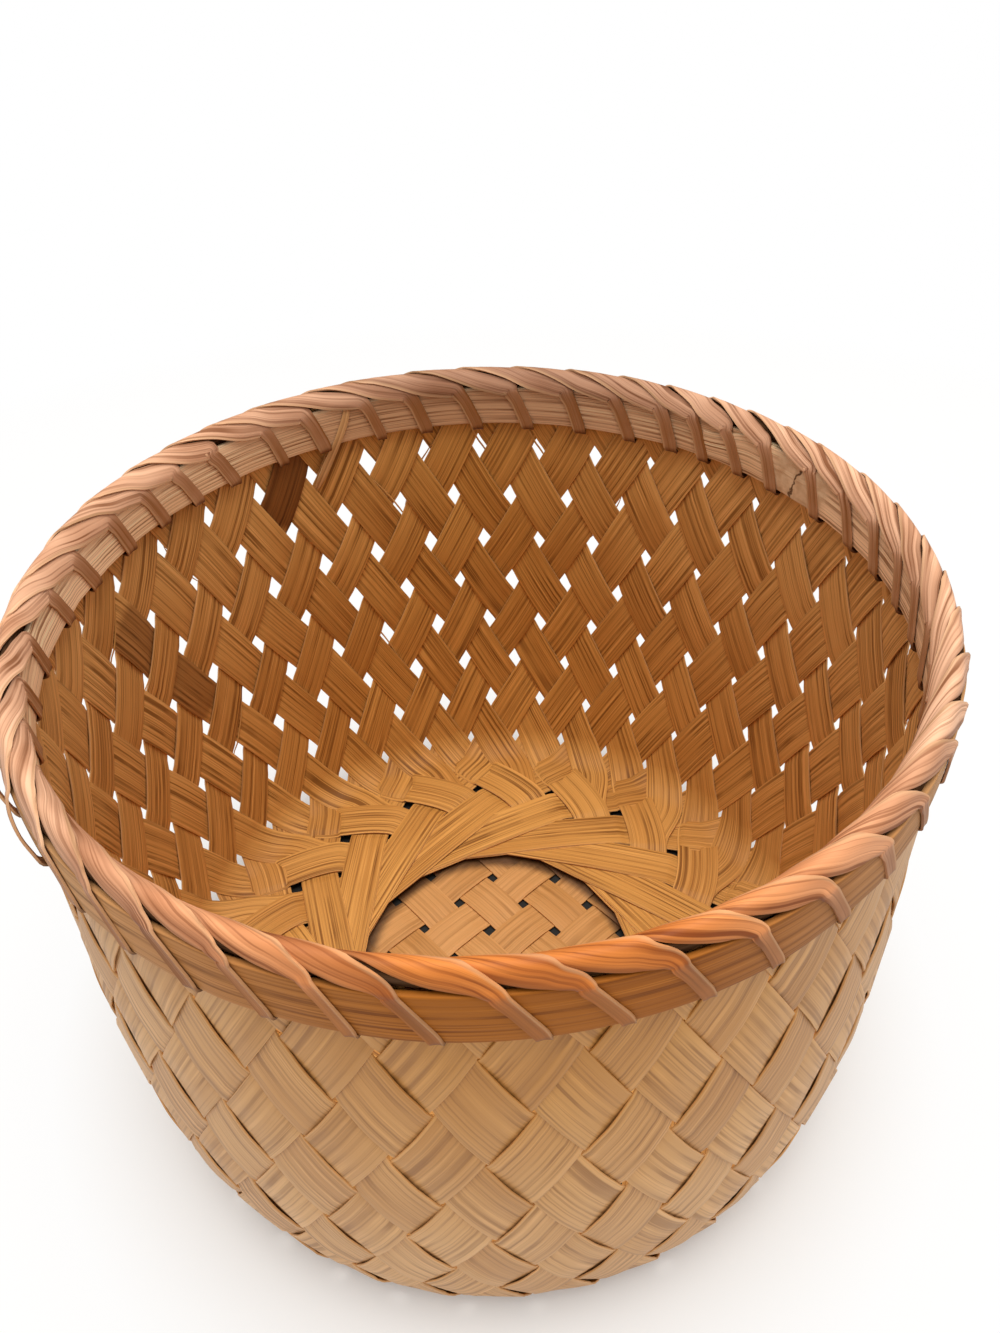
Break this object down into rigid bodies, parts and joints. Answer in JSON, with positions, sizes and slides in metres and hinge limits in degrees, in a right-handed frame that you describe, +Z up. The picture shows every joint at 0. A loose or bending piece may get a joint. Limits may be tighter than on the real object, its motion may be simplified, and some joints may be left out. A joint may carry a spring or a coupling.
{
  "type": "woven bamboo basket",
  "caption": "Round open basket of split bamboo, woven on the slant over a small square-woven mat, with a double hoop and wound binding at the rim.",
  "frame": {"origin": "middle of the base, on the surface that the basket stands on", "axes": "+Z up along the basket's axis; +Y away from the picture's viewer, +X to the right"},
  "size_m": [0.1868, 0.1868, 0.138],
  "materials": {
    "wall_bamboo": "dry split bamboo with fine straight fibre, matt to satin",
    "mat_bamboo": "paler dry split bamboo, matt",
    "hoop_bamboo": "split bamboo band with its fibres along the band, satin",
    "core_bamboo": "round bamboo filler, matt",
    "binding_bamboo": "reddish brown flat strip, satin"
  },
  "bodies": {
    "root": {"splint_01": "wall_bamboo", "splint_02": "wall_bamboo", "splint_03": "wall_bamboo", "splint_04": "wall_bamboo", "splint_05": "wall_bamboo", "splint_06": "wall_bamboo", "splint_07": "wall_bamboo", "splint_08": "wall_bamboo", "splint_09": "wall_bamboo", "splint_10": "wall_bamboo", "splint_11": "wall_bamboo", "splint_12": "wall_bamboo", "splint_13": "wall_bamboo", "splint_14": "wall_bamboo", "splint_15": "wall_bamboo", "splint_16": "wall_bamboo", "splint_17": "wall_bamboo", "splint_18": "wall_bamboo", "splint_19": "wall_bamboo", "splint_20": "wall_bamboo", "splint_21": "wall_bamboo", "splint_22": "wall_bamboo", "splint_23": "wall_bamboo", "splint_24": "wall_bamboo", "splint_25": "wall_bamboo", "splint_26": "wall_bamboo", "splint_27": "wall_bamboo", "splint_28": "wall_bamboo", "splint_29": "wall_bamboo", "splint_30": "wall_bamboo", "splint_31": "wall_bamboo", "splint_32": "wall_bamboo", "splint_33": "wall_bamboo", "splint_34": "wall_bamboo", "splint_35": "wall_bamboo", "splint_36": "wall_bamboo", "mat_strip_a_1": "mat_bamboo", "mat_strip_a_2": "mat_bamboo", "mat_strip_a_3": "mat_bamboo", "mat_strip_a_4": "mat_bamboo", "mat_strip_a_5": "mat_bamboo", "mat_strip_a_6": "mat_bamboo", "mat_strip_a_7": "mat_bamboo", "mat_strip_b_1": "mat_bamboo", "mat_strip_b_2": "mat_bamboo", "mat_strip_b_3": "mat_bamboo", "mat_strip_b_4": "mat_bamboo", "mat_strip_b_5": "mat_bamboo", "mat_strip_b_6": "mat_bamboo", "mat_strip_b_7": "mat_bamboo", "inner_hoop": "hoop_bamboo", "outer_hoop": "hoop_bamboo", "rim_core": "core_bamboo", "rim_binding_1": "binding_bamboo", "rim_binding_2": "binding_bamboo", "rim_binding_3": "binding_bamboo"}
  },
  "joints": []
}
